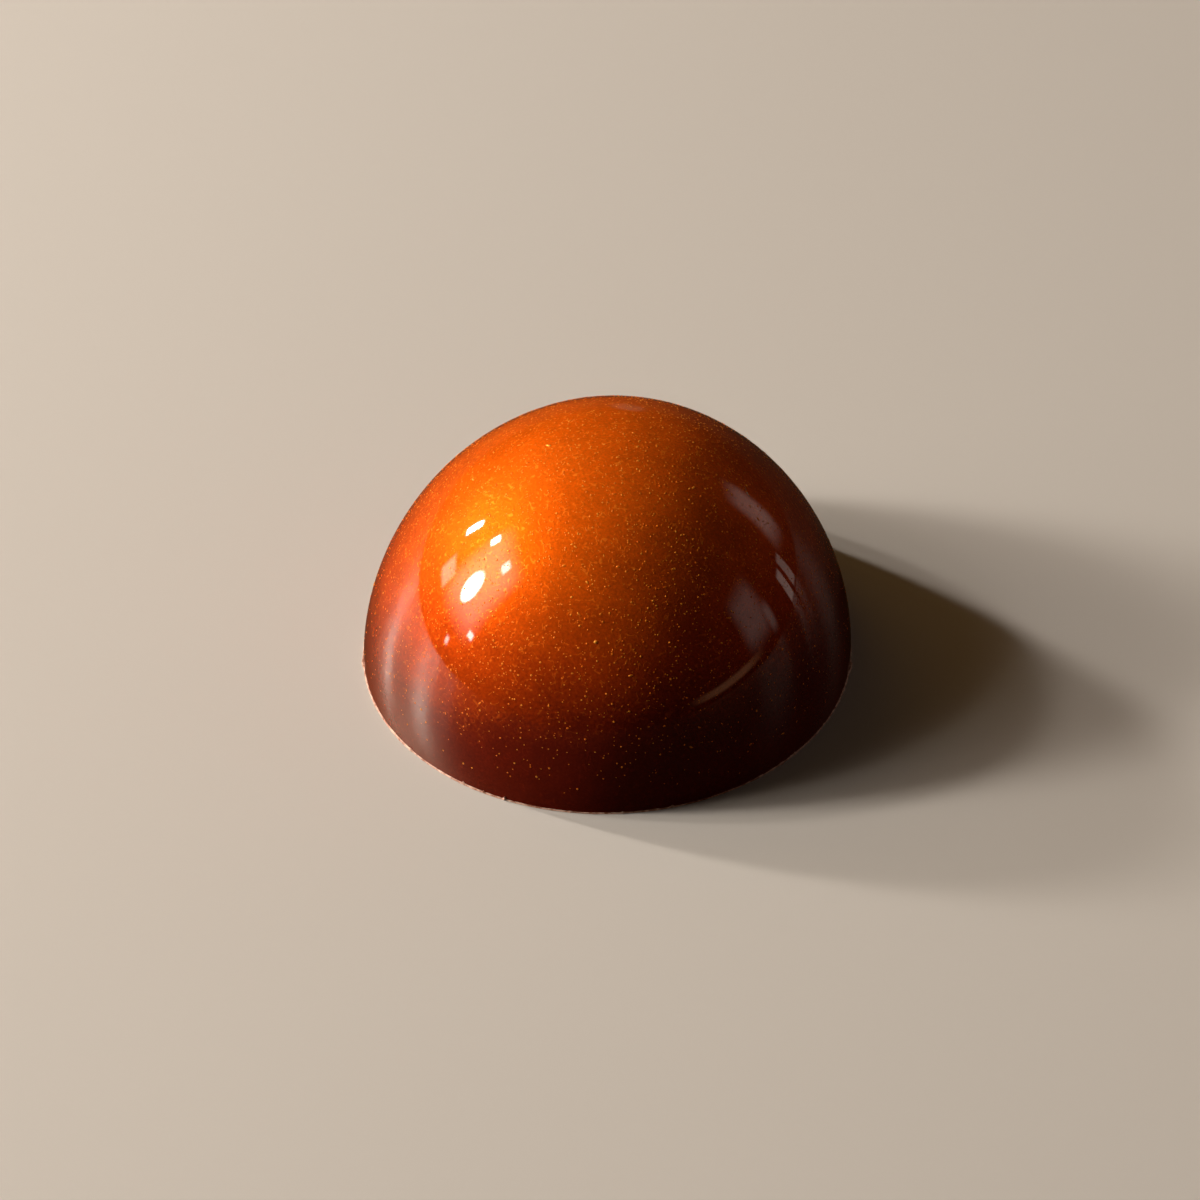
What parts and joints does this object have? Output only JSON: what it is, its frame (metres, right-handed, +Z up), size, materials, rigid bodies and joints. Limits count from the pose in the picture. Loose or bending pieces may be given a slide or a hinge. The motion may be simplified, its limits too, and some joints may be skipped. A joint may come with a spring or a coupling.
{
  "type": "chocolate praline",
  "caption": "Half-sphere moulded chocolate praline on a flat base, its glossy orange coat fading to dark brown at the foot; a small sweet that rests on a plate or in a box.",
  "frame": {"origin": "centre of the flat base, on the surface the praline rests on", "axes": "+Z up through the dome, +X towards the side the crown leans to, -Y towards the front that the main view shows"},
  "size_m": [0.0302, 0.0302, 0.0162],
  "materials": {
    "coated_chocolate": "mirror-gloss tempered dark chocolate with a sprayed orange cocoa butter coat, finely speckled with gold, that thins out to bare chocolate near the base"
  },
  "bodies": {
    "root": {"praline": "coated_chocolate"}
  },
  "joints": []
}
